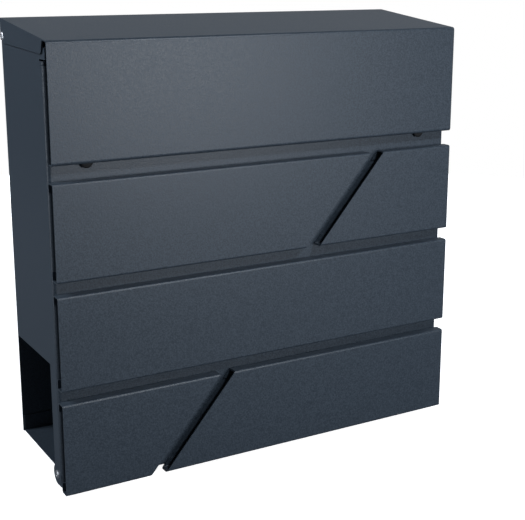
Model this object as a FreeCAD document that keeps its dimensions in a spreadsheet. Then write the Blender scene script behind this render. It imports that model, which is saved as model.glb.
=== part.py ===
"""Wall mounted mailbox: a folded sheet steel case with a newspaper tray, a hinged lid and a hinged door.

Sizes are in millimetres. Places are written from the lower left front corner of the
closed box, x to the right, y to the back and z up. The helpers move them into the part's
own frame, whose origin is the centre of the four wall holes on the back face.
"""
import FreeCAD, Part
import Sketcher
import os
import re

from FreeCAD import Placement, Rotation, Vector

DRIVING_SIZES = [
    # the whole box
    ("overall_width", 370), ("overall_height", 365), ("overall_depth", 110),
    ("plate", 1.0), ("side_gap", 0.3), ("bend_inside", 0.8),
    # wall holes in the back panel
    ("mount_drop", 142), ("mount_across", 240), ("mount_apart", 154), ("mount_hole", 7),
    # lid
    ("lid_rise", 12.5), ("lid_back_gap", 1.5), ("flap_height", 90.5), ("flap_lip", 6), ("lid_bend", 1.5),
    ("lid_side_front", 9), ("lid_side_drop", 10), ("lid_side_rise", 3), ("lid_round", 4),
    ("lid_pivot_inset", 6), ("lid_pivot_drop", 14.5),
    # case
    ("case_drop_front", 5.5), ("case_drop_back", 10), ("band_height", 8.5), ("band_gap", 2), ("band_lip", 10),
    ("catch_drop", 20.5), ("strip_gap", 3), ("strip_width", 11.7), ("frame_step", 11), ("frame_flange", 8),
    ("relief_depth", 6), ("leg_depth", 15), ("leg_round", 3), ("rear_flange", 12),
    ("tray_bottom", 14), ("tray_front_lip", 16), ("tray_back_lip", 14),
    ("newspaper_height", 87), ("floor_lip", 11), ("floor_side_lip", 9), ("floor_notch", 3),
    # door
    ("flap_gap", 13), ("row_gap", 10.5), ("row_depth", 10), ("row_lip", 8),
    ("slot_angle", 40.5), ("slot_offset", 73.5),
    ("door_bottom", 3), ("door_relief", 1.5), ("door_flange", 12), ("door_bend", 2), ("door_mitre", 4),
    ("flange_end", 1.5), ("door_pivot_inset", 10), ("door_pivot_rise", 8), ("lobe_radius", 8.5),
    # fasteners
    ("pivot_radius", 2), ("pivot_running", 0.05), ("pivot_head_radius", 3.6), ("pivot_head", 1.2),
    ("rivet_radius", 1.6), ("rivet_head_radius", 2.8), ("rivet_head", 1), ("rivet_inset", 30),
    # rubber bumpers
    ("bumper_inset", 30), ("bumper_radius", 5), ("bumper_gap", 0.3), ("bumper_stem", 2), ("bumper_dome", 1.2),
    # cam lock
    ("lock_drop", 14), ("lock_head_radius", 11), ("lock_head", 3.5), ("lock_barrel_radius", 9.4),
    ("lock_hole_gap", 0.1), ("lock_length", 16), ("lock_nut_radius", 12.5), ("lock_nut_thick", 3),
    ("plug_radius", 6), ("plug_running", 0.05), ("plug_recess", 0.6), ("key_slot_width", 2),
    ("key_slot_length", 7.5), ("key_slot_depth", 8), ("cam_thick", 2), ("cam_width", 13), ("cam_length", 26),
    ("cam_clearance", 0.3), ("screw_radius", 2), ("screw_head_radius", 4), ("screw_head", 2.4),
    ("screw_grip", 6), ("driver_slot", 1),
]

# Sizes and places that follow from the driving sizes, each from those above it.
WORKED_OUT = [
    # across, from the left
    ("case_left", "plate + side_gap"), ("case_right", "overall_width - case_left"),
    ("case_inner_left", "case_left + plate"), ("case_inner_right", "case_right - plate"),
    ("strip_end", "case_left + strip_width"), ("strip_end_right", "overall_width - strip_end"),
    ("middle", "overall_width / 2"),
    # back, from the front
    ("back_face", "overall_depth - plate"), ("lid_back", "overall_depth - lid_back_gap"),
    ("lid_pivot_back", "overall_depth - lid_pivot_inset"), ("band_front", "flap_lip + band_gap"),
    ("door_rear", "row_depth + plate"), ("door_pivot_back", "row_depth + door_pivot_inset"),
    ("strip_front", "door_rear + strip_gap"), ("frame_back", "strip_front + frame_step"),
    ("leg_back", "strip_front + leg_depth"),
    # up, from the bottom
    ("mount_height", "overall_height - mount_drop"), ("lid_slope", "lid_rise / overall_depth"),
    ("lid_front", "overall_height - lid_rise"), ("lid_pivot_height", "overall_height - lid_pivot_drop"),
    ("flap_bottom", "lid_front - flap_height"), ("row_height", "(flap_bottom - flap_gap - 2 * row_gap) / 3"),
    ("case_top_front", "lid_front - case_drop_front"), ("case_top_back", "overall_height - case_drop_back"),
    ("band_bottom", "case_top_front - band_height"), ("catch_bottom", "band_bottom - catch_drop"),
    ("door_top", "band_bottom - door_relief"), ("door_pivot_height", "door_bottom + door_pivot_rise"),
    ("floor_height", "tray_bottom + newspaper_height"),
    # what the door carries
    ("rivet_edge", "(row_lip + plate + bend_inside) / 2"), ("bumper_height", "flap_bottom + plate / 2"),
    ("bumper_front", "flap_lip + bumper_gap"), ("lock_height", "catch_bottom - lock_drop"),
    ("lock_front", "row_depth - lock_head"), ("plug_front", "lock_front + plug_recess"),
    ("cam_front", "row_depth + lock_length + plug_running + cam_clearance"),
]
FUNCTIONS = {"sin", "cos", "deg"}

BUMPER_PLACES = {"left": "bumper_inset", "right": "overall_width - bumper_inset"}

# Each panel of the door: its row from the bottom, its name, the plain ends it has, and the place of its slot.
ROW_PANELS = [
    (2, "row_two_left", "left", "+ slot_offset"), (2, "row_two_right", "right", "+ slot_offset"),
    (1, "row_three", "both", None),
    (0, "row_four_left", "left", "- slot_offset"), (0, "row_four_right", "right", "- slot_offset"),
]


def named(formula, sheet_of_places="Places."):
    """Return a formula with every size and place in it written as a cell of its sheet."""
    places = {name for name, _ in WORKED_OUT}

    def cell(found):
        word = found[0]
        if word in FUNCTIONS:
            return word
        return sheet_of_places + word if word in places else f"Sizes.{word}"

    return re.sub(r"[a-z_]{2,}", cell, formula)


def filled_sheet(name, cells):
    """Return a spreadsheet with one named cell on each row."""
    sheet = doc.addObject("Spreadsheet::Sheet", name)
    for row_number, (alias, content) in enumerate(cells, start=1):
        sheet.set(f"A{row_number}", alias)
        sheet.set(f"B{row_number}", content)
        sheet.setAlias(f"B{row_number}", alias)
    doc.recompute()
    return sheet


doc = FreeCAD.newDocument("mailbox")
sizes = filled_sheet("Sizes", [(alias, str(amount)) for alias, amount in DRIVING_SIZES])
places = filled_sheet("Places", [(alias, "=" + named(formula, "")) for alias, formula in WORKED_OUT])


def size(alias):
    """Return one size or place as a number."""
    sheet = places if alias in {name for name, _ in WORKED_OUT} else sizes
    return float(sheet.get(alias))


def bind(item, prop, formula):
    item.setExpression(prop, named(formula))


def place(item, x, y, z):
    """Bind an object's place, given from the lower left front corner of the box."""
    bind(item, "Placement.Base.x", f"{x} - middle")
    bind(item, "Placement.Base.y", f"{y} - overall_depth")
    bind(item, "Placement.Base.z", f"{z} - mount_height")


def box(x, y, z):
    """Return a block between two places along each axis."""
    item = doc.addObject("Part::Box", "block")
    bind(item, "Length", f"{x[1]} - ({x[0]})")
    bind(item, "Width", f"{y[1]} - ({y[0]})")
    bind(item, "Height", f"{z[1]} - ({z[0]})")
    place(item, x[0], y[0], z[0])
    return item


def turned_block(corner, lengths, axis, angle):
    """Return a block turned about its own corner."""
    item = doc.addObject("Part::Box", "turned_block")
    for prop, length in zip(("Length", "Width", "Height"), lengths):
        bind(item, prop, length)
    item.Placement = Placement(Vector(0, 0, 0), Rotation(axis, 10))
    bind(item, "Placement.Rotation.Angle", angle)
    place(item, *corner)
    return item


def rod(axis, start, length, radius):
    """Return a round bar that starts at a point and runs along +X or +Y."""
    item = doc.addObject("Part::Cylinder", "round_bar")
    bind(item, "Height", length)
    bind(item, "Radius", radius)
    turn = Rotation(Vector(0, 1, 0), 90) if axis == "x" else Rotation(Vector(1, 0, 0), -90)
    item.Placement = Placement(Vector(0, 0, 0), turn)
    place(item, *start)
    return item


def fused(items, label="joined"):
    item = doc.addObject("Part::MultiFuse", "joined")
    item.Shapes = items
    item.Refine = True
    item.Label = label
    return item


def cut(base, tool, label="cut"):
    item = doc.addObject("Part::Cut", "cut")
    item.Base = base
    item.Tool = tool
    item.Label = label
    return item


def group(items, label):
    """Return separate solids held as one sub-part."""
    item = doc.addObject("Part::Compound", "group")
    item.Links = items
    item.Label = label
    return item


def mirrored(source, label):
    """Return the mirror image of a left hand piece as the right hand one."""
    item = doc.addObject("Part::Mirroring", "mirrored")
    item.Source = source
    item.Normal = Vector(1, 0, 0)
    item.Base = Vector(0, 0, 0)
    item.Label = label
    return item


def side_view_pad(points, left, right):
    """Return a plate whose side view is the closed outline, from one x place to another."""
    body = doc.addObject("PartDesign::Body", "plate_body")
    sketch = body.newObject("Sketcher::SketchObject", "outline")
    plane = [item for item in body.Origin.OriginFeatures if item.Role == "YZ_Plane"][0]
    sketch.AttachmentSupport = [(plane, "")]
    sketch.MapMode = "FlatFace"
    bind(sketch, "AttachmentOffset.Base.x", "0 - overall_depth")
    bind(sketch, "AttachmentOffset.Base.y", "0 - mount_height")
    bind(sketch, "AttachmentOffset.Base.z", f"{left} - middle")
    count = len(points)
    for index in range(count):
        start = Vector(10 * (index + 1), 8 + index * index, 0)
        end = Vector(10 * ((index + 1) % count + 1), 8 + ((index + 1) % count) ** 2, 0)
        sketch.addGeometry(Part.LineSegment(start, end), False)
    for index in range(count):
        sketch.addConstraint(Sketcher.Constraint("Coincident", index, 2, (index + 1) % count, 1))
    for index, (across, height) in enumerate(points):
        for kind, formula in (("DistanceX", across), ("DistanceY", height)):
            if formula == "0":
                sketch.addConstraint(Sketcher.Constraint("PointOnObject", index, 1, -2))
                continue
            number = sketch.addConstraint(Sketcher.Constraint(kind, -1, 1, index, 1, 10.0 * (index + 1)))
            bind(sketch, f"Constraints[{number}]", formula)
    pad = body.newObject("PartDesign::Pad", "plate_pad")
    pad.Profile = sketch
    bind(pad, "Length", f"{right} - ({left})")
    return body


def along_same_line(edge, axis, corner):
    """Tell whether an edge is straight, runs along an axis and crosses a corner seen along it."""
    if len(edge.Vertexes) != 2 or edge.Curve.TypeId != "Part::GeomLine":
        return False
    start, end = edge.Vertexes[0].Point, edge.Vertexes[1].Point
    across = [index for index in range(3) if index != axis]
    straight = all(abs(start[index] - end[index]) < 1e-6 for index in across)
    return straight and all(abs(start[index] - corner[index]) < 1e-4 for index in across)


def folded(walls, folds, inside="bend_inside", label="folded"):
    """Return sheet metal made of flat walls, with each fold rounded inside and outside.

    Two walls of a fold overlap in a bar of the plate's thickness. Its outer edge gets the
    inside radius plus the plate, and its inner edge the inside radius.
    """
    whole = fused(walls)
    doc.recompute()
    rounds = []
    for first, second in folds:
        first_box, second_box = walls[first].Shape.BoundBox, walls[second].Shape.BoundBox
        bar = first_box.intersected(second_box)
        lengths = [bar.XLength, bar.YLength, bar.ZLength]
        axis = lengths.index(max(lengths))
        towards = (first_box.Center + second_box.Center) * 0.5 - bar.Center
        towards[axis] = 0
        for number, edge in enumerate(whole.Shape.Edges, start=1):
            for corner in bar_corners(bar):
                if along_same_line(edge, axis, corner):
                    inner = (corner - bar.Center).dot(towards) > 0
                    radius = size(inside) if inner else size(inside) + size("plate")
                    rounds.append((number, radius, radius))
                    break
    item = doc.addObject("Part::Fillet", "folded")
    item.Base = whole
    item.Edges = sorted(set(rounds))
    item.Label = label
    return item


def rounded(base, corners, radius, axis=0, label="rounded"):
    """Return a piece with its edges along an axis rounded where they cross the given corners."""
    doc.recompute()
    rounds = [(number, radius, radius) for number, edge in enumerate(base.Shape.Edges, start=1)
              if any(along_same_line(edge, axis, corner) for corner in corners)]
    item = doc.addObject("Part::Fillet", "rounded")
    item.Base = base
    item.Edges = rounds
    item.Label = label
    return item


def spot(y, z):
    """Return a point of the side view in the part's own frame, from its place at the box corner."""
    return Vector(0, y - size("overall_depth"), z - size("mount_height"))


def bar_corners(bar):
    """Return the eight corners of a bounding box."""
    across, back, up = (bar.XMin, bar.XMax), (bar.YMin, bar.YMax), (bar.ZMin, bar.ZMax)
    return [Vector(x, y, z) for x in across for y in back for z in up]


# ---------------------------------------------------------------- case

def side_panel():
    """The left side of the case: a plate with a folded front frame, a rear flange and a leg."""
    outline = [("strip_front", "door_bottom"), ("strip_front", "door_top"),
               ("strip_front + relief_depth", "door_top"), ("strip_front + relief_depth", "band_bottom"),
               ("band_front", "band_bottom"), ("band_front", "case_top_front"),
               ("back_face", "case_top_back"), ("back_face", "floor_height"),
               ("leg_back", "floor_height"), ("leg_back", "door_bottom")]
    plate = side_view_pad(outline, "case_left", "case_inner_left")
    corner = spot(size("leg_back"), size("door_bottom"))
    plate = rounded(plate, [corner], size("leg_round"))
    frame = [stepped_frame("door_bottom", "catch_bottom", True),
             stepped_frame("catch_bottom", "door_top", False)]
    rear = box(("case_left", "case_inner_left + rear_flange"), ("back_face - plate", "back_face"),
               ("floor_height + floor_notch", "case_top_front"))
    shell = fused([plate] + frame + [rear])
    doc.recompute()
    front_corner = Vector(size("case_left") - size("middle"), size("strip_front") - size("overall_depth"), 0)
    shell = rounded(shell, [front_corner], size("bend_inside") + size("plate"), axis=2)
    holes = [rod("x", ("0", "door_pivot_back", "door_pivot_height"), "rear_flange", "pivot_radius"),
             rod("x", ("0", "lid_pivot_back", "lid_pivot_height"), "rear_flange", "pivot_radius")]
    return cut(shell, fused(holes), "side_panel_left")


def stepped_frame(low, high, has_flange):
    """The strip beside the door, the step behind it and, below the catch plate, an inner flange."""
    strip = box(("case_left", "strip_end"), ("strip_front", "strip_front + plate"), (low, high))
    step = box(("strip_end - plate", "strip_end"), ("strip_front", "frame_back"), (low, high))
    if not has_flange:
        return folded([strip, step], [(0, 1)])
    flange = box(("strip_end - plate", "strip_end + frame_flange"), ("frame_back - plate", "frame_back"),
                 (low, high))
    return folded([strip, step, flange], [(0, 1), (1, 2)])


def back_panel():
    """The flat back of the case with its four wall holes."""
    panel = box(("case_left", "case_right"), ("back_face", "overall_depth"), ("tray_bottom", "case_top_back"))
    holes = [rod("y", (f"middle {across} mount_across / 2", "leg_back",
                       f"mount_height {apart} mount_apart / 2"), "overall_depth", "mount_hole / 2")
             for across in "+-" for apart in "+-"]
    return cut(panel, group(holes, "wall_holes"), "back_panel")


def top_band():
    """The band over the door: its front, a step behind it and the catch plate that the lock's cam reaches."""
    inner = ("case_inner_left", "case_inner_right")
    catch = ("strip_end", "strip_end_right")
    step_middle = "(band_front + frame_back) / 2"
    shelf = ("band_bottom", "band_bottom + plate")
    front = box(inner, ("band_front", "band_front + plate"), ("band_bottom", "case_top_front"))
    lip = box(inner, ("band_front", "band_front + band_lip"), ("case_top_front - plate", "case_top_front"))
    step = box(inner, ("band_front", step_middle), shelf)
    rear_step = box(catch, (step_middle, "frame_back"), shelf)
    drop = box(catch, ("frame_back - plate", "frame_back"), ("catch_bottom", "band_bottom + plate"))
    band = folded([front, lip, step], [(0, 1), (0, 2)])
    return fused([band, folded([rear_step, drop], [(0, 1)])], "top_band")


def letter_floor():
    """The floor of the letter compartment, with a front lip and two side lips."""
    sheet = ("floor_height", "floor_height + plate")
    rise = ("floor_height", "floor_height + floor_side_lip")
    left, right = "case_inner_left + floor_notch", "case_inner_right - floor_notch"
    deck = box((left, right), ("frame_back", "back_face - plate"), sheet)
    front = box((left, right), ("frame_back", "frame_back + plate"), (f"{sheet[1]} - floor_lip", sheet[1]))
    depth = ("frame_back + floor_notch", "back_face - floor_notch")
    sides = []
    for wing, wall in ((("case_inner_left", left), ("case_inner_left", "case_inner_left + plate")),
                       ((right, "case_inner_right"), ("case_inner_right - plate", "case_inner_right"))):
        sides.append(folded([box(wing, depth, sheet), box(wall, depth, rise)], [(0, 1)]))
    return fused([folded([deck, front], [(0, 1)])] + sides, "letter_floor")


def newspaper_tray():
    """The tray under the letter compartment, open at both ends."""
    across = ("case_inner_left", "case_inner_right")
    deck = box(across, ("frame_back", "back_face"), ("tray_bottom", "tray_bottom + plate"))
    front = box(across, ("frame_back", "frame_back + plate"), ("tray_bottom", "tray_bottom + tray_front_lip"))
    back = box(across, ("back_face - plate", "back_face"), ("tray_bottom", "tray_bottom + tray_back_lip"))
    return folded([deck, front, back], [(0, 1), (0, 2)], label="newspaper_tray")


def pivot_rivet(y, z):
    """A rivet on the left that joins a moving flange to the side panel, its head outside."""
    head = rod("x", ("0 - pivot_head - pivot_running", y, z), "pivot_head", "pivot_head_radius")
    shank = rod("x", ("0 - pivot_head", y, z), "case_inner_left + 2 * pivot_head", "pivot_radius")
    tail = rod("x", ("case_inner_left", y, z), "pivot_head", "pivot_head_radius - plate / 2")
    return fused([head, shank, tail])


def pivot_rivets(y, z, label):
    """Both rivets of one hinge line."""
    left = pivot_rivet(y, z)
    return group([left, mirrored(left, "right_rivet")], label)


# ---------------------------------------------------------------- lid

def lid_cover():
    """The lid: a sloping top, a flap with a lip that hangs in front of the door, and two side flanges."""
    flap = [("0", "flap_bottom"), ("flap_lip", "flap_bottom"), ("flap_lip", "flap_bottom + plate"),
            ("plate", "flap_bottom + plate"), ("plate", "lid_front - plate + lid_slope * plate"),
            ("lid_back", "lid_front - plate + lid_slope * lid_back"),
            ("lid_back", "lid_front + lid_slope * lid_back"), ("0", "lid_front")]
    cover = side_view_pad(flap, "0", "overall_width")
    plate, inside = size("plate"), size("lid_bend")
    outer = [spot(0, size("lid_front")), spot(0, size("flap_bottom"))]
    inner = [spot(plate, size("lid_front") - plate + size("lid_slope") * plate),
             spot(plate, size("flap_bottom") + plate)]
    cover = rounded(rounded(cover, outer, inside + plate), inner, inside)
    side = [("lid_side_front", "lid_front - plate / 2 + lid_slope * lid_side_front"),
            ("lid_side_front + lid_round", "lid_front - lid_side_drop"),
            ("lid_pivot_back", "lid_front - lid_side_drop + lid_side_rise"),
            ("lid_back", "lid_pivot_height - plate"),
            ("lid_back", "lid_front - plate / 2 + lid_slope * lid_back")]
    flange = side_view_pad(side, "0", "plate")
    corner = spot(size("lid_side_front") + size("lid_round"), size("lid_front") - size("lid_side_drop"))
    flange = rounded(flange, [corner], size("lid_round"))
    pivot = ("0 - plate", "lid_pivot_back", "lid_pivot_height")
    flange = cut(flange, rod("x", pivot, "4 * plate", "pivot_radius + pivot_running"))
    return fused([cover, flange, mirrored(flange, "right_flange")], "lid_cover")


# ---------------------------------------------------------------- door

def slot_side(centre_x, centre_z, keep):
    """A block that takes away one side of a slanted slot, so that the panel on the named side is kept."""
    near = "0 - row_gap / 2" if keep == "left" else "row_gap / 2 - overall_width"
    angle = "slot_angle * 1 deg"
    corner = (f"{centre_x} + cos({angle}) * ({near}) - sin({angle}) * overall_width",
              "0 - row_depth",
              f"{centre_z} - sin({angle}) * ({near}) - cos({angle}) * overall_width")
    lengths = ("overall_width", "3 * row_depth", "2 * overall_width")
    return turned_block(corner, lengths, Vector(0, 1, 0), angle)


def row_panel(row, label, end, slot_shift):
    """A shallow channel across the door, with lips that lie on the pan; a slanted slot may cut one end."""
    low = f"{row} * (row_height + row_gap)"
    high = f"({low} + row_height)"
    across = ("0", "overall_width")
    lip_depth = ("row_depth - plate", "row_depth")
    face = box(across, ("0", "plate"), (low, high))
    top = box(across, ("0", "row_depth"), (f"{high} - plate", high))
    bottom = box(across, ("0", "row_depth"), (low, f"{low} + plate"))
    top_lip = box(across, lip_depth, (f"{high} - row_lip", high))
    bottom_lip = box(across, lip_depth, (low, f"{low} + row_lip"))
    panel = folded([face, top, bottom, top_lip, bottom_lip], [(0, 1), (0, 2), (1, 3), (2, 4)])
    tools = []
    if slot_shift:
        tools.append(slot_side(f"middle {slot_shift}", f"{low} + row_height / 2", end))
    tools += rivet_rods(row, rivet_places(end, slot_shift))
    return cut(panel, fused(tools), label)


def rivet_places(end, slot_shift):
    """The places of one panel's rivets: near each plain end, and the middle if the panel reaches it."""
    ends = {"left": "rivet_inset", "right": "overall_width - rivet_inset"}
    if end == "both":
        return [ends["left"], "middle", ends["right"]]
    reaches_middle = slot_shift.startswith("+") == (end == "left")
    return [ends[end], "middle"] if reaches_middle else [ends[end]]


def rivet_rods(row, places, front="row_depth - plate", length="2 * plate", radius="rivet_radius"):
    """Round bars on the middle of the flat part of a panel's two lips."""
    low = f"{row} * (row_height + row_gap)"
    heights = (f"{low} + rivet_edge", f"{low} + row_height - rivet_edge")
    return [rod("y", (x, front, z), length, radius) for x in places for z in heights]


def panel_rivets():
    """The rivets that hold the row panels' lips to the pan."""
    rivets = []
    for row, _, end, slot_shift in ROW_PANELS:
        places = rivet_places(end, slot_shift)
        heads = rivet_rods(row, places, "row_depth - plate - rivet_head", "rivet_head", "rivet_head_radius")
        shanks = rivet_rods(row, places, "row_depth - plate - rivet_head", "2 * plate + 2 * rivet_head")
        tails = rivet_rods(row, places, "door_rear", "rivet_head", "rivet_head_radius")
        rivets += [fused(list(pieces)) for pieces in zip(heads, shanks, tails)]
    return group(rivets, "panel_rivets")


def lock_bar(start, length, radius):
    """A round bar on the lock's axis."""
    return rod("y", ("middle", start, "lock_height"), length, radius)


def door_pan():
    """The door's base: a plate with side flanges outside the case and a shorter flange along its top."""
    shoulder = "door_top - (door_bend + plate)"
    face = ("row_depth", "door_rear")
    flange = ("row_depth", "row_depth + door_flange")
    between = ("(strip_end + flange_end)", "(strip_end_right - flange_end)")
    main = box(("0", "overall_width"), face, ("door_bottom", shoulder))
    raised = box(between, face, ("door_bottom", "door_top"))
    left = box(("0", "plate"), flange, ("door_bottom", shoulder))
    right = box(("overall_width - plate", "overall_width"), flange, ("door_bottom", shoulder))
    top = box(between, flange, ("door_top - plate", "door_top"))
    pan = folded([main, raised, left, right, top], [(0, 2), (0, 3), (1, 4)], "door_bend")
    shoulder_height = size("door_top") - size("door_bend") - size("plate")
    rear_corner = spot(size("row_depth") + size("door_flange"), shoulder_height)
    pan = rounded(pan, [rear_corner], size("door_mitre"))
    pivot = ("door_pivot_back", "door_pivot_height")
    lobes = [rod("x", (x, *pivot), "plate", "lobe_radius") for x in ("0", "overall_width - plate")]
    tools = [rod("x", ("0 - plate", *pivot), "overall_width + 2 * plate", "pivot_radius + pivot_running"),
             lock_bar("0", "overall_depth / 2", "lock_barrel_radius + lock_hole_gap")]
    for edge in between:
        corner = (edge, "door_rear + 1.5 * door_bend", "door_top - 2 * plate")
        block = ("door_flange", "door_flange", "3 * plate")
        tools.append(turned_block(corner, block, Vector(0, 0, 1), "45 * 1 deg"))
    for row, _, end, slot_shift in ROW_PANELS:
        tools += rivet_rods(row, rivet_places(end, slot_shift))
    tools += [bumper_bar(x, "row_depth - plate", "3 * plate", "bumper_stem") for x in BUMPER_PLACES.values()]
    return cut(fused([pan] + lobes), fused(tools), "door_pan")


def bumper_bar(x, start, length, radius):
    """A round bar on the axis of a bumper."""
    return rod("y", (x, start, "bumper_height"), length, radius)


def bumper(side):
    """A domed rubber bumper that the flap's lip rests on, with a stem through the pan."""
    x = BUMPER_PLACES[side]
    dome = doc.addObject("Part::Cone", "dome")
    bind(dome, "Radius1", "bumper_radius - bumper_dome")
    bind(dome, "Radius2", "bumper_radius")
    bind(dome, "Height", "bumper_dome")
    dome.Placement = Placement(Vector(0, 0, 0), Rotation(Vector(1, 0, 0), -90))
    place(dome, x, "bumper_front", "bumper_height")
    back = "bumper_front + bumper_dome"
    disc = bumper_bar(x, back, f"row_depth - ({back})", "bumper_radius")
    stem = bumper_bar(x, back, f"door_rear + bumper_stem - ({back})", "bumper_stem")
    return fused([dome, disc, stem], f"bumper_{side}")


# ---------------------------------------------------------------- lock

def lock_housing():
    """The fixed body of the cam lock: a round head in front of the pan and a barrel through it."""
    head = lock_bar("lock_front", "lock_head", "lock_head_radius")
    barrel = lock_bar("row_depth - plate", "lock_length + plate", "lock_barrel_radius")
    bore = lock_bar("lock_front - plate", "overall_depth / 2", "plug_radius + plug_running")
    return cut(fused([head, barrel]), bore, "lock_housing")


def lock_nut():
    """The six sided nut that clamps the lock's barrel to the back of the pan."""
    nut = doc.addObject("Part::Prism", "nut")
    nut.Polygon = 6
    bind(nut, "Circumradius", "lock_nut_radius")
    bind(nut, "Height", "lock_nut_thick")
    nut.Placement = Placement(Vector(0, 0, 0), Rotation(Vector(1, 0, 0), -90))
    place(nut, "middle", "door_rear", "lock_height")
    return cut(nut, lock_bar("door_rear", "lock_nut_thick", "lock_barrel_radius"), "lock_nut")


def lock_plug():
    """The turning plug, with a key slot in front and a screw hole behind."""
    body = lock_bar("plug_front", "cam_front - plug_front", "plug_radius")
    slot = box(("middle - key_slot_width / 2", "middle + key_slot_width / 2"),
               ("plug_front - plate", "plug_front + key_slot_depth"),
               ("lock_height - key_slot_length / 2", "lock_height + key_slot_length / 2"))
    screw_hole = lock_bar("cam_front - screw_grip", "screw_grip + plate", "screw_radius")
    return cut(body, fused([slot, screw_hole]), "lock_plug")


def lock_cam():
    """The cam behind the plug; it points left when unlocked and up behind the catch plate when locked."""
    behind = ("cam_front", "cam_front + cam_thick")
    tip = "(middle - cam_length + cam_width / 2)"
    arm = box((tip, "middle"), behind, ("lock_height - cam_width / 2", "lock_height + cam_width / 2"))
    hub = lock_bar("cam_front", "cam_thick", "cam_width / 2")
    nose = rod("y", (tip, "cam_front", "lock_height"), "cam_thick", "cam_width / 2")
    return cut(fused([arm, hub, nose]), lock_bar("cam_front", "cam_thick", "screw_radius"), "lock_cam")


def cam_screw():
    """The slotted screw that holds the cam to the plug."""
    head_start = "cam_front + cam_thick"
    shank = lock_bar("cam_front - screw_grip", "screw_grip + cam_thick + screw_head / 2", "screw_radius")
    head = lock_bar(head_start, "screw_head", "screw_head_radius")
    slot = box(("middle - driver_slot / 2", "middle + driver_slot / 2"),
               (f"{head_start} + screw_head / 2", f"{head_start} + screw_head + plate"),
               ("lock_height - 2 * screw_head_radius", "lock_height + 2 * screw_head_radius"))
    return cut(fused([shank, head]), slot, "cam_screw")


# ---------------------------------------------------------------- assembly

left_side = side_panel()
pieces = [left_side, mirrored(left_side, "side_panel_right"), back_panel(), top_band(), letter_floor(),
          newspaper_tray(), pivot_rivets("door_pivot_back", "door_pivot_height", "door_pivot_rivets"),
          pivot_rivets("lid_pivot_back", "lid_pivot_height", "lid_pivot_rivets"), lid_cover(), door_pan()]
pieces += [row_panel(*entry) for entry in ROW_PANELS]
pieces += [panel_rivets(), bumper("left"), bumper("right")]
pieces += [lock_housing(), lock_nut(), lock_plug(), lock_cam(), cam_screw()]
doc.recompute()

for item in doc.Objects:
    if "Invalid" in item.State or "Error" in item.State:
        raise RuntimeError(f"{item.Label} failed to build")
os.makedirs("parts", exist_ok=True)
for piece in pieces:
    if piece.Shape.isNull() or not piece.Shape.isValid():
        raise RuntimeError(f"{piece.Label} has no valid shape")
for piece in pieces:
    piece.Shape.exportStep(f"parts/{piece.Label}.step")
    print(f"{piece.Label}: {len(piece.Shape.Solids)} solid(s), {piece.Shape.Volume:.0f} cubic mm")
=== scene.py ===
"""Looks of a wall mounted mailbox: folded sheet steel in anthracite powder coat, on its fixed CAD frame.

The sheets of the case, the lid and the door are the frame's own nodes, dressed here. The small
hardware - rivets, bumpers, cam lock, nut and cam - is made here as curved surfaces on the same
places. Lengths are in metres; MM turns millimetres into metres.
"""

import logging
import math
from dataclasses import dataclass, field
from enum import Enum

import bpy
import numpy as np
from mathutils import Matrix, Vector


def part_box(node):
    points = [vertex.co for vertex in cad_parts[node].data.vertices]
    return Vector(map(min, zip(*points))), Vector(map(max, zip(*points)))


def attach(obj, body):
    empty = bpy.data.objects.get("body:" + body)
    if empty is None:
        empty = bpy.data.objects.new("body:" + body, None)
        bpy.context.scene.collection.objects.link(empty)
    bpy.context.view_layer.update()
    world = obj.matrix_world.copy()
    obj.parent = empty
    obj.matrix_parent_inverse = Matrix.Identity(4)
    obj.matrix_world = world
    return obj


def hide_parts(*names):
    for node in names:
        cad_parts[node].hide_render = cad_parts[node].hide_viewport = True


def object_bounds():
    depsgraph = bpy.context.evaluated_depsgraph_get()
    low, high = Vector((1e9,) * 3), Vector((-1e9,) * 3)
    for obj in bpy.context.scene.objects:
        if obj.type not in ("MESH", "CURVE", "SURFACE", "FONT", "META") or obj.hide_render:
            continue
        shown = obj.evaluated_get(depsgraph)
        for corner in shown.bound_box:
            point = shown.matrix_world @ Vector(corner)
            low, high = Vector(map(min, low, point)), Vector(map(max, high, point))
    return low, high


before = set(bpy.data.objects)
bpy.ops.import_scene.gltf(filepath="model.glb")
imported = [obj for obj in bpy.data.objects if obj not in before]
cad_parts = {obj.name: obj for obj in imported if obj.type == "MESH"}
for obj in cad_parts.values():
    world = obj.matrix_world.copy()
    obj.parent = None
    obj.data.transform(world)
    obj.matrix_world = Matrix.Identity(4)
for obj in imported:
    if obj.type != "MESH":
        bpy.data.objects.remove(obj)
CAD_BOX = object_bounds()

MM = 0.001
SENSOR_MM = 36.0
SHARP_DEGREES = 40
# The grain's heights between which colour and roughness go from one end to the other.
GRAIN_SPAN = (0.3, 0.7)
log = logging.getLogger("mailbox")


# ---------------------------------------------------------------- colour and nodes

def linear(code: str) -> tuple[float, float, float, float]:
    """Turn an sRGB hex colour into linear light.

    Args:
        code: Six hex digits after a number sign.

    Returns:
        Red, green, blue and an alpha of one.
    """
    parts = np.array([int(code[place:place + 2], 16) for place in (1, 3, 5)]) / 255.0
    light = np.where(parts <= 0.04045, parts / 12.92, ((parts + 0.055) / 1.055) ** 2.4)
    return (*(float(part) for part in light), 1.0)


def add_node(tree: bpy.types.NodeTree, kind: str, inputs: dict, **settings: object) -> bpy.types.Node:
    """Add a node to a tree with its settings, its fixed values and its links.

    Args:
        tree: The tree that gets the node.
        kind: The node's type.
        inputs: Each socket's name with a fixed value or the output that feeds it.
        settings: The node's own properties.

    Returns:
        The new node.
    """
    node = tree.nodes.new(kind)
    for name, value in settings.items():
        setattr(node, name, value)
    for name, value in inputs.items():
        if isinstance(value, bpy.types.NodeSocket):
            tree.links.new(value, node.inputs[name])
        else:
            node.inputs[name].default_value = value
    return node


def per_metre(size_mm: float) -> float:
    """Return a texture's scale from the real size of one of its grains in millimetres."""
    return 1.0 / (size_mm * MM)


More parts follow.
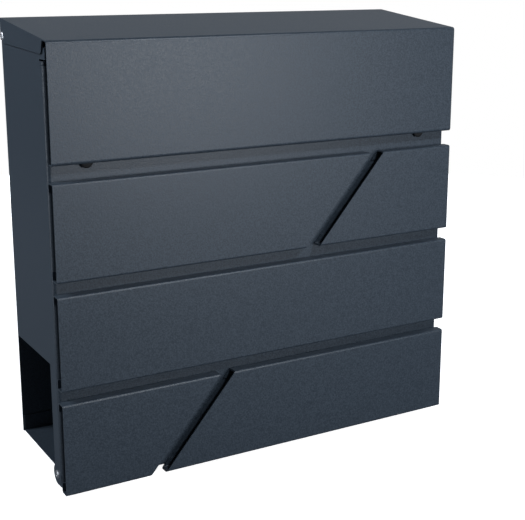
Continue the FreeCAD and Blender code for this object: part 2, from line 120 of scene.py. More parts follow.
def relief(tree: bpy.types.NodeTree, height: bpy.types.NodeSocket, height_mm: float,
           **under: bpy.types.NodeSocket) -> bpy.types.Node:
    """Turn a pattern's height into a bump of a real height.

    Args:
        tree: The material's tree.
        height: The pattern's height, from nought to one.
        height_mm: The real height in millimetres.
        under: The Normal of a relief that this one lies on, if there is one.

    Returns:
        The bump node.
    """
    return add_node(tree, "ShaderNodeBump", {
        "Height": height, "Distance": height_mm * MM, "Strength": 1.0, **under})


@dataclass(frozen=True)
class Finish:
    """What every finish has: a name, a colour pair, a roughness pair and a grain.

    Attributes:
        name: The real surface's name.
        slot: The record's material slot; not used.
        dark: The colour in the grain's hollows.
        light: The colour on the grain's tops.
        smooth: The lowest roughness.
        rough: The highest roughness.
        grain_mm: The size of one grain.
        relief_mm: The height of the grain.
        metallic: One for bare metal, nought for paint and rubber.
        stretch: How much longer the grain is along each axis than it is wide.
        octaves: How many finer grains lie on each grain.
        breakup: How strong each finer grain is beside the one before.
    """

    name: str
    slot: str
    dark: str
    light: str
    smooth: float
    rough: float
    grain_mm: float
    relief_mm: float
    metallic: float = 0.0
    stretch: tuple[float, float, float] = (1.0, 1.0, 1.0)
    octaves: float = 3.0
    breakup: float = 0.6

    def material(self) -> bpy.types.Material:
        """Return the finish as a material, made once."""
        made = bpy.data.materials.get(self.name)
        if made is None:
            made = bpy.data.materials.new(self.name)
            made.use_nodes = True
            made.node_tree.nodes.clear()
            self.grow(made.node_tree)
        return made

    def grow(self, tree: bpy.types.NodeTree) -> None:
        """Add the nodes: one grain drives the colour, the roughness and the relief."""
        place = add_node(tree, "ShaderNodeTexCoord", {})
        squeeze = tuple(1.0 / length for length in self.stretch)
        mapped = add_node(tree, "ShaderNodeMapping", {"Vector": place.outputs["Object"], "Scale": squeeze})
        grain = self.grain(tree, mapped.outputs["Vector"])
        normal = relief(tree, grain, self.relief_mm)
        self.close(tree, grain, normal.outputs["Normal"])

    def grain(self, tree: bpy.types.NodeTree, place: bpy.types.NodeSocket) -> bpy.types.NodeSocket:
        """Add the grain and return its height, from nought to one.

        Args:
            tree: The material's tree.
            place: The coordinates that the grain reads.
        """
        noise = add_node(tree, "ShaderNodeTexNoise", {
            "Vector": place, "Scale": per_metre(self.grain_mm), "Detail": self.octaves,
            "Roughness": self.breakup})
        return noise.outputs["Fac"]

    def close(self, tree: bpy.types.NodeTree, grain: bpy.types.NodeSocket,
              normal: bpy.types.NodeSocket) -> None:
        """Mix the colour and roughness from the grain and end in the shader.

        Args:
            tree: The material's tree.
            grain: The grain's height, from nought to one.
            normal: The normal with every relief in it.
        """
        span = {"Value": grain, "From Min": GRAIN_SPAN[0], "From Max": GRAIN_SPAN[1]}
        spread = add_node(tree, "ShaderNodeMapRange", span)
        colour = add_node(tree, "ShaderNodeMix", {"Factor": spread.outputs["Result"]}, data_type="RGBA")
        colour.inputs["A"].default_value = linear(self.dark)
        colour.inputs["B"].default_value = linear(self.light)
        gloss = add_node(tree, "ShaderNodeMapRange", {**span, "To Min": self.smooth, "To Max": self.rough})
        shader = add_node(tree, "ShaderNodeBsdfPrincipled", {
            "Base Color": colour.outputs["Result"], "Roughness": gloss.outputs["Result"],
            "Metallic": self.metallic, "Normal": normal})
        add_node(tree, "ShaderNodeOutputMaterial", {"Surface": shader.outputs["BSDF"]})


@dataclass(frozen=True)
class PowderCoat(Finish):
    """Baked powder: a fine grain on a slow ripple where the powder flowed unevenly.

    Attributes:
        ripple_mm: The width of one ripple.
        ripple_height_mm: The height of a ripple.
    """

    octaves: float = 2.0
    breakup: float = 0.55
    ripple_mm: float = 9.0
    ripple_height_mm: float = 0.01

    def grow(self, tree: bpy.types.NodeTree) -> None:
        """Add the grain, then the ripple under it."""
        place = add_node(tree, "ShaderNodeTexCoord", {}).outputs["Object"]
        grain = self.grain(tree, place)
        ripple = add_node(tree, "ShaderNodeTexNoise", {
            "Vector": place, "Scale": per_metre(self.ripple_mm), "Detail": 1.0})
        slow = relief(tree, ripple.outputs["Fac"], self.ripple_height_mm)
        fine = relief(tree, grain, self.relief_mm, Normal=slow.outputs["Normal"])
        self.close(tree, grain, fine.outputs["Normal"])


# Polyester powder baked on steel: a satin skin, bluish grey. The real grain is about 0.3 mm, too
# fine to show, so it is drawn at 1.2 mm, just enough to break up a reflection.
ANTHRACITE = PowderCoat("Anthracite fine texture powder coat", "powder_coat", "#2f3943", "#46515c",
                        0.36, 0.48, grain_mm=1.2, relief_mm=0.08)
# Blind rivets: soft aluminium, dulled and faintly marked when they were set.
ROLLED_ALUMINIUM = Finish("Rolled aluminium rivet", "steel_rivet", "#b6b9bd", "#d3d5d8",
                          0.34, 0.50, grain_mm=0.6, relief_mm=0.004, metallic=1.0)
# Nickel and chrome on die cast zinc: a mirror with faint waves.
CHROME_PLATE = Finish("Polished chrome plate", "chrome", "#c9ccd0", "#dfe1e4",
                      0.06, 0.14, grain_mm=2.5, relief_mm=0.002, metallic=1.0)
# Zinc plated steel, blue passivated: pale and slightly cloudy.
ZINC_PLATE = Finish("Zinc plated stamped steel", "zinc_steel", "#9ea1a4", "#bdbebb",
                    0.28, 0.42, grain_mm=1.8, relief_mm=0.005, metallic=1.0, stretch=(1.0, 1.0, 3.0))
# Moulded rubber: black, dry, with a sand blasted mould's tooth.
MOULDED_RUBBER = Finish("Moulded black rubber", "black_rubber", "#111214", "#1b1c1e",
                        0.62, 0.80, grain_mm=0.5, relief_mm=0.02)


# ---------------------------------------------------------------- surfaces

class Pole(Enum):
    """How the two ends of a turned profile meet."""

    OPEN_ENDS_ON_AXIS = "both ends lie on the axis"
    CLOSED_LOOP = "the profile is a loop that stays off the axis"


def softened(corners: list[tuple[float, float]], radius: float, closed: bool, steps: int = 5) -> np.ndarray:
    """Round the corners of a profile.

    A corner P with neighbours A and B becomes the curve (1-t)^2 S + 2t(1-t) P + t^2 E, where S
    and E lie on PA and PB at the radius, or at two fifths of the shorter side if that is less.

    Args:
        corners: The profile's corners.
        radius: The distance from a corner to the start of its curve.
        closed: Whether the last corner joins the first.
        steps: The points on each curve.

    Returns:
        The rounded profile, one point a row.
    """
    points = np.array(corners, float)
    before, after = np.roll(points, 1, axis=0), np.roll(points, -1, axis=0)
    to_before, to_after = before - points, after - points
    far_before = np.linalg.norm(to_before, axis=1, keepdims=True)
    far_after = np.linalg.norm(to_after, axis=1, keepdims=True)
    reach = np.minimum(radius, 0.4 * np.minimum(far_before, far_after))
    start = points + to_before / far_before * reach
    end = points + to_after / far_after * reach
    t = np.linspace(0.0, 1.0, steps)[None, :, None]
    curves = (1 - t) ** 2 * start[:, None] + 2 * t * (1 - t) * points[:, None] + t ** 2 * end[:, None]
    if closed:
        return curves.reshape(-1, 2)
    return np.vstack([points[:1], curves[1:-1].reshape(-1, 2), points[-1:]])


def wound(rows: int, columns: int, first: int, loop_rows: bool) -> np.ndarray:
    """Return the quads of a grid of vertices whose columns go all the way round.

    Args:
        rows: The grid's rows.
        columns: The grid's columns.
        first: The number of the grid's first vertex.
        loop_rows: Whether the last row joins the first.

    Returns:
        Four vertex numbers a row of the result.
    """
    row = np.arange(rows if loop_rows else rows - 1)[:, None]
    column = np.arange(columns)[None, :]
    below, beside = (row + 1) % rows, (column + 1) % columns
    corners = [row * columns + column, row * columns + beside,
               below * columns + beside, below * columns + column]
    return first + np.stack(corners, axis=-1).reshape(-1, 4)


@dataclass
class Surface:
    """Vertices and faces, as arrays.

    Attributes:
        points: One vertex a row.
        quads: Four vertex numbers a row.
        fans: Three vertex numbers a row, round the poles.
    """

    points: np.ndarray
    quads: np.ndarray
    fans: np.ndarray = field(default_factory=lambda: np.zeros((0, 3), int))

    def copied(self, places: np.ndarray) -> "Surface":
        """Return the surface repeated at each place, joined in one set of arrays."""
        count = len(self.points)
        steps = (np.arange(len(places)) * count)[:, None, None]
        points = (self.points[None] + places[:, None]).reshape(-1, 3)
        quads, fans = self.quads[None] + steps, self.fans[None] + steps
        return Surface(points, quads.reshape(-1, 4), fans.reshape(-1, 3))

    def joined(self, other: "Surface") -> "Surface":
        """Return this surface and another in one set of arrays."""
        count = len(self.points)
        return Surface(np.vstack([self.points, other.points]), np.vstack([self.quads, other.quads + count]),
                       np.vstack([self.fans, other.fans + count]))

    def piece(self, name: str, finish: Finish, body: str, *nodes: str) -> None:
        """Make the surface a piece of the mailbox.

        Args:
            name: The piece's name.
            finish: Its finish.
            body: The CAD body it moves with.
            nodes: The CAD nodes it stands for.
        """
        mesh = bpy.data.meshes.new(name)
        mesh.from_pydata(self.points.tolist(), [], self.quads.tolist() + self.fans.tolist())
        mesh.polygons.foreach_set("use_smooth", np.ones(len(mesh.polygons), bool))
        mesh.update()
        mesh.materials.append(finish.material())
        made = bpy.data.objects.new(name, mesh)
        bpy.context.scene.collection.objects.link(made)
        mesh.set_sharp_from_angle(angle=math.radians(SHARP_DEGREES))
        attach(made, body)
        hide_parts(*nodes)
        log.info("%s: %d faces, rides on %s", name, len(mesh.polygons), body)


def turned(profile: np.ndarray, pole: Pole, along: str, segments: int = 48) -> Surface:
    """Turn a profile round an axis through the origin.

    A profile point (a, r) goes to a along the axis and r from it: with angle w its place is
    a * axis + r * (cos w * side + sin w * up).

    Args:
        profile: Distance along the axis and radius, one point a row.
        pole: How the profile's ends meet.
        along: The axis, "x" or "y".
        segments: The steps round the axis.

    Returns:
        The closed surface, with its faces outwards when the profile runs along the axis.
    """
    axis = np.array([1.0, 0, 0] if along == "x" else [0, 1.0, 0])
    side = np.array([0, 0, 1.0]) if along == "x" else np.array([1.0, 0, 0])
    up = np.cross(axis, side)
    angle = np.linspace(0, 2 * np.pi, segments, endpoint=False)
    spokes = np.cos(angle)[:, None] * side + np.sin(angle)[:, None] * up
    rings = profile if pole is Pole.CLOSED_LOOP else profile[1:-1]
    points = (rings[:, 0, None, None] * axis + rings[:, 1, None, None] * spokes[None]).reshape(-1, 3)
    quads = wound(len(rings), segments, 0, pole is Pole.CLOSED_LOOP)
    if pole is Pole.CLOSED_LOOP:
        return Surface(points, quads)
    ends = profile[[0, -1], 0, None] * axis
    column = np.arange(segments)
    beside = (column + 1) % segments
    last = (len(rings) - 1) * segments
    first_fan = np.stack([np.full(segments, len(points)), beside, column], axis=-1)
    last_fan = np.stack([np.full(segments, len(points) + 1), last + column, last + beside], axis=-1)
    return Surface(np.vstack([points, ends]), quads, np.vstack([first_fan, last_fan]))


def holed(outer: np.ndarray, hole: float, section: np.ndarray) -> Surface:
    """Make a plate with a round hole, whose outline and edge are both free.

    The section is a loop of (share, height): a share of nought lies on the hole and one on the
    outline, so a point is hole + share * (outline - hole) in the plate's plane.

    Args:
        outer: The outline round the hole's centre, one (x, z) point a row.
        hole: The hole's radius.
        section: The loop, one point a row.

    Returns:
        The closed surface, with heights along the second axis.
    """
    inner = outer / np.linalg.norm(outer, axis=1, keepdims=True) * hole
    flat = inner[None] + section[:, 0, None, None] * (outer - inner)[None]
    height = np.broadcast_to(section[:, 1, None, None], flat.shape[:2] + (1,))
    points = np.concatenate([flat[..., :1], height, flat[..., 1:]], axis=-1).reshape(-1, 3)
    return Surface(points, wound(len(section), len(outer), 0, True))


def clusters(values: np.ndarray, gap: float) -> list[np.ndarray]:
    """Split numbers into groups that lie apart.

    Args:
        values: The numbers.
        gap: The least distance between two groups.

    Returns:
        The places of each group's numbers in the array.
    """
    order = np.argsort(values)
    breaks = np.nonzero(np.diff(values[order]) > gap)[0] + 1
    return np.split(order, breaks)


def solids_of(node: str, gap: float) -> np.ndarray:
    """Find the box of each separate solid of a node, by its gaps in height and then across.

    Args:
        node: The CAD node.
        gap: The least gap between two solids.

    Returns:
        The low and high corner of each solid, as an array of solids by two by three.
    """
    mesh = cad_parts[node].data
    points = np.zeros(len(mesh.vertices) * 3)
    mesh.vertices.foreach_get("co", points)
    points = points.reshape(-1, 3)
    boxes = []
    for level in clusters(points[:, 2], gap):
        for group in clusters(points[level, 0], gap):
            solid = points[level][group]
            boxes.append((solid.min(axis=0), solid.max(axis=0)))
    return np.array(boxes)


def middle(node: str) -> Vector:
    """Return the middle of a CAD node's box."""
    low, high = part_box(node)
    return (low + high) / 2


def front_middle(node: str) -> np.ndarray:
    """Return the middle of the front of a CAD node's box, as the one row of an array."""
    centre = middle(node)
    return np.array([[centre.x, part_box(node)[0].y, centre.z]])


def dress(nodes: tuple[str, ...], finish: Finish) -> None:
    """Give CAD nodes a finish and leave their shape alone."""
    for name in nodes:
        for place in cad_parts[name].material_slots:
            place.material = finish.material()
        log.info("%s: dressed in %s", name, finish.name)


# ---------------------------------------------------------------- sheet metal

@dataclass
class SheetMetal:
    """Folded and coated sheets, which are the CAD's own nodes.

    Attributes:
        nodes: The CAD nodes.
    """

    nodes: tuple[str, ...]

    def build(self) -> None:
        """Dress the sheets."""
        dress(self.nodes, ANTHRACITE)


@dataclass
class Case(SheetMetal):
    """The fixed sheets: sides, back, band, letter floor and newspaper tray."""

    nodes: tuple[str, ...] = ("side_panel_left", "side_panel_right", "back_panel", "top_band",
                              "letter_floor", "newspaper_tray")


@dataclass
class Lid(SheetMetal):
    """The folded lid with its hanging flap."""

    nodes: tuple[str, ...] = ("lid_cover",)


@dataclass
class Door(SheetMetal):
    """The door's pan and the five channel panels on it."""

    nodes: tuple[str, ...] = ("door_pan", "row_two_left", "row_two_right", "row_three",
                              "row_four_left", "row_four_right")


# ---------------------------------------------------------------- small hardware

@dataclass
class BlindRivets:
    """Blind rivets: a domed head with the broken mandrel in it, a shank and a swollen tail.

    Attributes:
        node: The CAD node that they stand for, which gives their places, length and head radius.
        body: The body they ride on.
        along: The axis of the shanks.
        head: The head's height.
        shank: The shank's radius.
        tail_radius: The tail's radius.
        gap: The least gap between two rivets.
        mandrel: The mandrel's radius, as a share of the head's.
        recess: The mandrel's broken end, as shares of the head's height and the mandrel's radius.
        crown: The dome's depth, as a share of the head's height.
        dome_power: How late the dome falls off towards the head's edge.
        swell_power: How fast the tail swells.
        blunt: Where the tail's swelling stops, as a share of its length.
        dimple: The hollow in the tail's end, as shares of the shank's radius and the head's height.
    """

    node: str
    body: str
    along: str
    head: float
    shank: float
    tail_radius: float
    gap: float = 6 * MM
    mandrel: float = 0.36
    recess: tuple[tuple[float, float], ...] = ((0.34, 0.0), (0.30, 0.55), (0.34, 0.85), (0.06, 1.0))
    crown: float = 0.85
    dome_power: float = 2.2
    swell_power: float = 0.6
    blunt: float = 0.8
    dimple: tuple[float, float] = (0.4, 0.2)

    def profile(self, length: float, head_radius: float, steps: int = 12) -> np.ndarray:
        """Return the profile from the head's pole to the tail's.

        The dome's depth is crown * head * t^dome_power for t from the mandrel's rim to the head's
        edge. The tail's radius is shank + (tail_radius - shank) * sin(pi * t)^swell_power for t up
        to blunt, and stays there.

        Args:
            length: The whole length.
            head_radius: The head's radius.
            steps: The points on the dome and on the tail.

        Returns:
            Distance along the axis and radius, one point a row.
        """
        rim = self.mandrel * head_radius
        t = np.linspace(0.0, 1.0, steps)
        recess = np.array(self.recess) * (self.head, rim)
        fall = self.crown * self.head * t ** self.dome_power
        dome = np.stack([fall, rim + (head_radius - rim) * t], axis=-1)
        under = np.array([(self.head, head_radius), (self.head, self.shank)])
        swell = np.sin(np.pi * np.clip(t, 0, self.blunt)) ** self.swell_power
        bulge = self.shank + (self.tail_radius - self.shank) * swell
        tail = np.stack([length - self.head * (1 - t), bulge], axis=-1)
        wide, deep = self.dimple
        dimple = np.array([(length, wide * self.shank), (length - deep * self.head, 0.0)])
        return np.vstack([recess, dome[1:], under, tail, dimple])

    def build(self) -> None:
        """Make a rivet at each solid of the node, with its head out of the object."""
        boxes = solids_of(self.node, self.gap)
        index = "xyz".index(self.along)
        sizes = boxes[0, 1] - boxes[0, 0]
        shape = turned(self.profile(sizes[index], sizes[2] / 2), Pole.OPEN_ENDS_ON_AXIS, self.along)
        places = boxes.mean(axis=1)
        places[:, index] = boxes[:, 0, index]
        if self.along == "x":
            left = shape.copied(places[places[:, 0] < 0])
            right = Surface(left.points * (-1, 1, 1), left.quads[:, ::-1], left.fans[:, ::-1])
            rivets = left.joined(right)
        else:
            rivets = shape.copied(places)
        rivets.piece(f"{self.node}_domed", ROLLED_ALUMINIUM, self.body, self.node)


@dataclass
class Bumper:
    """A push-in rubber bumper: a low dome, a disc with a soft edge, a stem and a barb.

    Attributes:
        node: The CAD node that it stands for, which gives its place, length and radius.
        crown: How far the dome rises over the disc's edge.
        face: The dome's radius, as a share of the disc's.
        slope: How far back the disc's full radius lies from the dome's edge.
        edge: The softness of the disc's edge.
        stem: The stem's radius.
        barb: The barb's radius.
        barb_length: How far the barb reaches behind the pan.
        barb_step: How far the barb takes to reach its full radius.
        barb_rim: How far behind the pan the barb's full radius ends.
        tip: The radius of the barb's blunt end.
        plate: The pan's thickness.
    """

    node: str
    crown: float = 0.6 * MM
    face: float = 0.86
    slope: float = 0.3 * MM
    edge: float = 0.8 * MM
    stem: float = 2.0 * MM
    barb: float = 2.9 * MM
    barb_length: float = 2.0 * MM
    barb_step: float = 0.1 * MM
    barb_rim: float = 0.8 * MM
    tip: float = 1.2 * MM
    plate: float = 1.0 * MM

    def build(self, steps: int = 9) -> None:
        """Turn the profile; the dome's face is crown * (r / radius)^2 deep at radius r.

        Args:
            steps: The points on the dome.
        """
        low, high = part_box(self.node)
        radius, length = (high.x - low.x) / 2, high.y - low.y
        back = length - self.plate - self.barb_length
        t = np.linspace(0.0, self.face, steps)
        dome = np.stack([self.crown * t ** 2, radius * t], axis=-1)
        shoulder = softened([(self.crown, radius * self.face), (self.crown + self.slope, radius),
                             (back, radius), (back, self.stem)], self.edge, closed=False)
        start = length - self.barb_length
        barb = np.array([(start, self.stem), (start + self.barb_step, self.barb),
                         (start + self.barb_rim, self.barb), (length, self.tip), (length, 0.0)])
        shape = turned(np.vstack([dome, shoulder[1:], barb]), Pole.OPEN_ENDS_ON_AXIS, "y")
        place = front_middle(self.node)
        shape.copied(place).piece(f"{self.node}_domed", MOULDED_RUBBER, "door", self.node)


@dataclass
class CamLock:
    """The cam lock: a turned head and threaded barrel, a nut, a plug, a cam and its screw.

    Attributes:
        head: The head's length in front of the pan.
        head_radius: The head's radius.
        barrel: The barrel's radius over the thread.
        bore: The radius of the plug's bore.
        pitch: The thread's pitch.
        thread: The thread's depth.
        edge: The softness of the head's edge.
        bevel: How much smaller the head's face is than its rim.
        mouth: The depth of the slope at the mouth of the bore.
        chamfer: The slope's width there and at the barrel's end.
        first_ring: Where the thread's rings of points start behind the head.
        run_out: The plain part of the barrel behind the head.
        near: How near to the barrel's radius a point lies when it is on the barrel.
        nut_flat: Where the nut's flat face ends, as a share of the way to the outline.
        nut_slope: How far down its corners are sloped, as a share of its thickness.
        nut_edge: The softness of the nut's edges.
        cam_edge: The softness of the cam's edges.
        screw_hole: The radius of the cam's hole.
    """

    head: float = 3.5 * MM
    head_radius: float = 11.0 * MM
    barrel: float = 9.4 * MM
    bore: float = 6.05 * MM
    pitch: float = 1.5 * MM
    thread: float = 0.45 * MM
    edge: float = 1.1 * MM
    bevel: float = 0.4 * MM
    mouth: float = 0.5 * MM
    chamfer: float = 0.6 * MM
    first_ring: float = 1.2 * MM
    run_out: float = 1.5 * MM
    near: float = 0.01 * MM
    nut_flat: float = 0.7
    nut_slope: float = 0.2
    nut_edge: float = 0.12 * MM
    cam_edge: float = 0.4 * MM
    screw_hole: float = 2.0 * MM

    def build(self) -> None:
        """Make the housing, nut and cam, and dress the plug and the screw."""
        self.housing()
        self.nut()
        self.cam()
        dress(("lock_plug",), CHROME_PLATE)
        dress(("cam_screw",), ZINC_PLATE)

    def housing(self, rings: int = 90, segments: int = 72) -> None:
        """Turn the head and barrel, then cut the thread.

        Behind the plain part the radius is barrel - thread * (1 - cos(2 pi (a / pitch) - w)) / 2
        for a distance a along the axis and an angle w round it.

        Args:
            rings: The rings of points along the barrel.
            segments: The steps round it.
        """
        low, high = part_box("lock_housing")
        length = high.y - low.y
        front = softened([(self.mouth, self.bore), (0.0, self.bore + self.chamfer),
                          (0.0, self.head_radius - self.bevel), (self.head, self.head_radius),
                          (self.head, self.barrel)], self.edge, closed=False)
        threaded = np.linspace(self.head + self.first_ring, length - self.chamfer, rings)
        barrel = np.stack([threaded, np.full_like(threaded, self.barrel)], axis=-1)
        end = np.array([(length, self.barrel - self.chamfer), (length, self.bore)])
        loop = np.vstack([front, barrel, end])
        shape = turned(loop, Pole.CLOSED_LOOP, "y", segments)
        along = shape.points[:, 1]
        angle = np.arctan2(-shape.points[:, 2], shape.points[:, 0])
        radius = np.hypot(shape.points[:, 0], shape.points[:, 2])
        wave = (1 - np.cos(2 * np.pi * along / self.pitch - angle)) / 2
        on_barrel = np.abs(radius - self.barrel) < self.near
        cut = (along > self.head + self.run_out) & on_barrel
        shrink = np.where(cut, 1 - self.thread * wave / radius, 1.0)
        shape.points[:, [0, 2]] *= shrink[:, None]
        place = front_middle("lock_housing")
        shape.copied(place).piece("lock_housing_turned", CHROME_PLATE, "door", "lock_housing")

    def nut(self, steps: int = 96) -> None:
        """Make the hexagon: its outline's radius is apothem / cos(w) for w from a flat's middle.

        Args:
            steps: The points on the outline, a multiple of six.
        """
        low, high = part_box("lock_nut")
        thick, corner = high.y - low.y, (high.x - low.x) / 2
        apothem = corner * math.cos(math.pi / 6)
        angle = np.linspace(0, 2 * np.pi, steps, endpoint=False)
        radius = apothem / np.cos(angle % (np.pi / 3) - np.pi / 6)
        outline = np.stack([np.cos(angle) * radius, np.sin(angle) * radius], axis=-1)
        low_corner, high_corner = self.nut_slope * thick, (1 - self.nut_slope) * thick
        section = softened([(0.0, 0.0), (0.0, thick), (self.nut_flat, thick), (1.0, high_corner),
                            (1.0, low_corner), (self.nut_flat, 0.0)], self.nut_edge, closed=True)
        shape = holed(outline, self.barrel, section)
        place = front_middle("lock_nut")
        shape.copied(place).piece("lock_nut_hexagon", ZINC_PLATE, "door", "lock_nut")

    def cam(self, steps: int = 24) -> None:
        """Make the cam: a stadium from the hub to the nose, with its stamped edge softened.

        Args:
            steps: The points on each end's half circle.
        """
        low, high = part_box("lock_cam")
        thick, half = high.y - low.y, (high.z - low.z) / 2
        reach = (high.x - low.x) - 2 * half
        turn = np.linspace(-np.pi / 2, np.pi / 2, steps)
        hub = np.stack([np.cos(turn), np.sin(turn)], axis=-1) * half
        nose = -hub - np.array([reach, 0.0])
        run = np.linspace(0, 1, steps)[1:-1, None]
        outline = np.vstack([hub, hub[-1] + run * (nose[0] - hub[-1]),
                             nose, nose[-1] + run * (hub[0] - nose[-1])])
        section = softened([(0.0, 0.0), (0.0, thick), (1.0, thick), (1.0, 0.0)], self.cam_edge, closed=True)
        shape = holed(outline, self.screw_hole, section)
        place = np.array([[high.x - half, low.y, middle("lock_cam").z]])
        shape.copied(place).piece("lock_cam_stamped", ZINC_PLATE, "lock", "lock_cam")


# ---------------------------------------------------------------- studio

@dataclass(frozen=True)
class Panel:
    """One soft light.

    Attributes:
        place: Its place from the object's middle.
        width: Its width.
        height: Its height.
        power: Its power in watts.
    """

    place: tuple[float, float, float]
    width: float
    height: float
    power: float


class Softbox(Enum):
    """The studio's lights: a low key to the right, and others that draw the folds and fill the sides."""

    KEY = Panel((0.38, -1.12, 0.12), 0.45, 0.45, 5.2)
    HIGH_FRONT = Panel((0.34, -0.80, 0.80), 0.12, 0.12, 5.0)
    BACK = Panel((0.75, 1.25, 0.62), 1.3, 0.7, 1.1)
    REAR_FILL = Panel((0.0, 1.40, 0.0), 0.34, 0.34, 6.0)
    LEFT_FILL = Panel((-0.95, 0.30, 0.80), 0.35, 0.35, 7.0)
    LEFT_STRIP = Panel((-1.25, 0.10, -0.10), 0.06, 0.70, 4.0)
    RIGHT_FILL = Panel((1.45, 0.30, 0.35), 0.6, 0.6, 8.0)


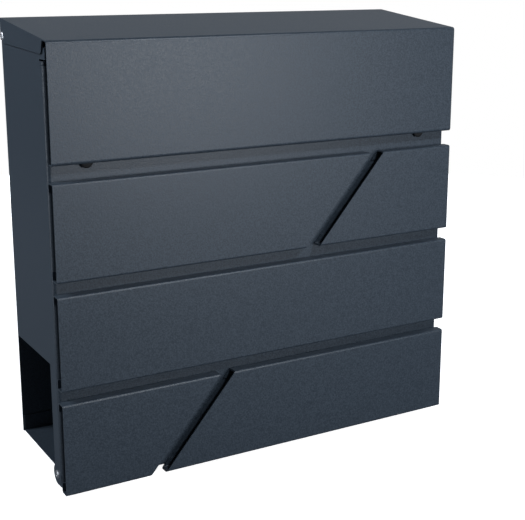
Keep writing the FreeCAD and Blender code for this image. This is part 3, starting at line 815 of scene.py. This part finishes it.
@dataclass
class Studio:
    """A pale floor, soft lights, a white surround and the camera.

    Attributes:
        azimuth: The camera's turn from straight ahead, in degrees.
        elevation: Its height above the horizon, in degrees.
        distance: Its distance from the point it aims at.
        aim: That point, from the object's middle.
        lens: The focal length in millimetres.
        shift: How far the view is moved up, as a share of its width; below nought it moves down.
        surround: The colour of the white around the object.
        glow: How strongly the floor shines towards the camera.
        seen_paper: The floor's colour to the camera.
        lit_paper: The floor's colour to every other ray.
        daylight: The colour of every light.
        skylight: The colour of the surround's light on the object.
        ambient: How strongly the surround lights the object.
        room_below: The drop to the floor, more than the open door's foot dips.
    """

    azimuth: float = -29.98
    elevation: float = 13.67
    distance: float = 0.945
    aim: tuple[float, float, float] = (0.0172, -0.0110, -0.0039)
    lens: float = 74.6
    shift: float = -0.05
    surround: str = "#ffffff"
    glow: float = 0.93
    seen_paper: str = "#f4f5f6"
    lit_paper: str = "#747679"
    daylight: str = "#f1f7ff"
    skylight: str = "#eef3fa"
    ambient: float = 0.05
    room_below: float = 5 * MM

    def build(self) -> None:
        """Make the floor, the surround, the lights and the camera."""
        self.floor()
        self.sky()
        for light in Softbox:
            self.light(light)
        self.camera()

    def middle(self) -> Vector:
        """Return the middle of the object's box."""
        return (CAD_BOX[0] + CAD_BOX[1]) / 2

    def floor(self, reach: float = 1.3, rings: int = 24, spokes: int = 64) -> None:
        """Lay a round floor under the object.

        Its rings lie at reach * t^2 for evenly spaced t, so they are closest at the middle.

        Args:
            reach: The floor's radius.
            rings: The rings from the middle to the edge.
            spokes: The steps round it.
        """
        share = (np.linspace(0, 1, rings + 1)[1:]) ** 2 * reach
        angle = np.linspace(0, 2 * np.pi, spokes, endpoint=False)
        level = CAD_BOX[0].z - self.room_below
        flat = np.stack([share[:, None] * np.cos(angle), share[:, None] * np.sin(angle),
                         np.full((rings, spokes), level)], axis=-1).reshape(-1, 3)
        hub = np.array([[0.0, 0.0, level]])
        column = np.arange(spokes)
        fan = np.stack([np.full(spokes, len(flat)), column, (column + 1) % spokes], axis=-1)
        mesh = bpy.data.meshes.new("studio_floor")
        quads = wound(rings, spokes, 0, False)[:, ::-1]
        mesh.from_pydata(np.vstack([flat, hub]).tolist(), [], quads.tolist() + fan.tolist())
        mesh.materials.append(self.paper())
        made = bpy.data.objects.new("studio_floor", mesh)
        bpy.context.scene.collection.objects.link(made)

    def paper(self) -> bpy.types.Material:
        """Return the floor's matt paper.

        It glows, so that the camera sees it white, and it is dull to every other ray, so that it
        throws little light back up at the object.
        """
        made = bpy.data.materials.new("Matt white paper")
        made.use_nodes = True
        tree = made.node_tree
        tree.nodes.clear()
        path = add_node(tree, "ShaderNodeLightPath", {})
        dull = add_node(tree, "ShaderNodeBsdfDiffuse", {"Color": linear(self.lit_paper)})
        matt = add_node(tree, "ShaderNodeBsdfDiffuse", {"Color": linear(self.seen_paper)})
        glow = add_node(tree, "ShaderNodeEmission", {
            "Color": linear(self.surround), "Strength": self.glow})
        bright = add_node(tree, "ShaderNodeAddShader", {0: matt.outputs["BSDF"], 1: glow.outputs["Emission"]})
        both = add_node(tree, "ShaderNodeMixShader", {
            0: path.outputs["Is Camera Ray"], 1: dull.outputs["BSDF"], 2: bright.outputs["Shader"]})
        add_node(tree, "ShaderNodeOutputMaterial", {"Surface": both.outputs["Shader"]})
        return made

    def sky(self) -> None:
        """Give a surround that the camera sees as full white and that lights the object softly.

        The Standard transform keeps that white and the paint's colours as they are.
        """
        world = bpy.data.worlds.new("white surround")
        world.use_nodes = True
        tree = world.node_tree
        tree.nodes.clear()
        path = add_node(tree, "ShaderNodeLightPath", {})
        seen = add_node(tree, "ShaderNodeBackground", {"Color": linear(self.surround), "Strength": 1.0})
        felt = add_node(tree, "ShaderNodeBackground", {
            "Color": linear(self.skylight), "Strength": self.ambient})
        both = add_node(tree, "ShaderNodeMixShader", {
            0: path.outputs["Is Camera Ray"], 1: felt.outputs["Background"], 2: seen.outputs["Background"]})
        add_node(tree, "ShaderNodeOutputWorld", {"Surface": both.outputs["Shader"]})
        bpy.context.scene.world = world
        bpy.context.scene.view_settings.view_transform = "Standard"

    def light(self, box: Softbox) -> None:
        """Hang one softbox and turn it to the object's middle.

        Args:
            box: The softbox.
        """
        panel = box.value
        lamp = bpy.data.lights.new(box.name.lower(), "AREA")
        lamp.shape, lamp.size, lamp.size_y = "RECTANGLE", panel.width, panel.height
        lamp.energy = panel.power
        lamp.color = linear(self.daylight)[:3]
        made = bpy.data.objects.new(box.name.lower(), lamp)
        made.visible_camera = False
        made.location = self.middle() + Vector(panel.place)
        made.rotation_euler = (-Vector(panel.place)).to_track_quat("-Z", "Y").to_euler()
        bpy.context.scene.collection.objects.link(made)

    def camera(self) -> None:
        """Stand the camera at its angles round the aim and make it the scene's."""
        turn, rise = math.radians(self.azimuth), math.radians(self.elevation)
        back = Vector((math.sin(turn) * math.cos(rise), -math.cos(turn) * math.cos(rise),
                       math.sin(rise)))
        eye = bpy.data.cameras.new("camera")
        eye.lens, eye.sensor_width, eye.shift_y = self.lens, SENSOR_MM, self.shift
        made = bpy.data.objects.new("camera", eye)
        made.location = self.middle() + Vector(self.aim) + back * self.distance
        made.rotation_euler = (-back).to_track_quat("-Z", "Y").to_euler()
        bpy.context.scene.collection.objects.link(made)
        bpy.context.scene.camera = made


# Standard blind rivets on the panels, and larger ones as the hinges' pivots.
RIVETS = (
    BlindRivets("panel_rivets", "door", "y", head=1.0 * MM, shank=1.6 * MM, tail_radius=2.7 * MM),
    BlindRivets("door_pivot_rivets", "root", "x", head=1.2 * MM, shank=2.0 * MM, tail_radius=3.0 * MM),
    BlindRivets("lid_pivot_rivets", "root", "x", head=1.2 * MM, shank=2.0 * MM, tail_radius=3.0 * MM),
)


def main() -> None:
    """Build the mailbox, sub-assembly by sub-assembly, then the studio."""
    logging.basicConfig(level=logging.INFO, format="%(name)s: %(message)s")
    bumpers = (Bumper("bumper_left"), Bumper("bumper_right"))
    for assembly in (Case(), Lid(), Door(), *RIVETS, *bumpers, CamLock(), Studio()):
        assembly.build()


if __name__ == "__main__":
    main()
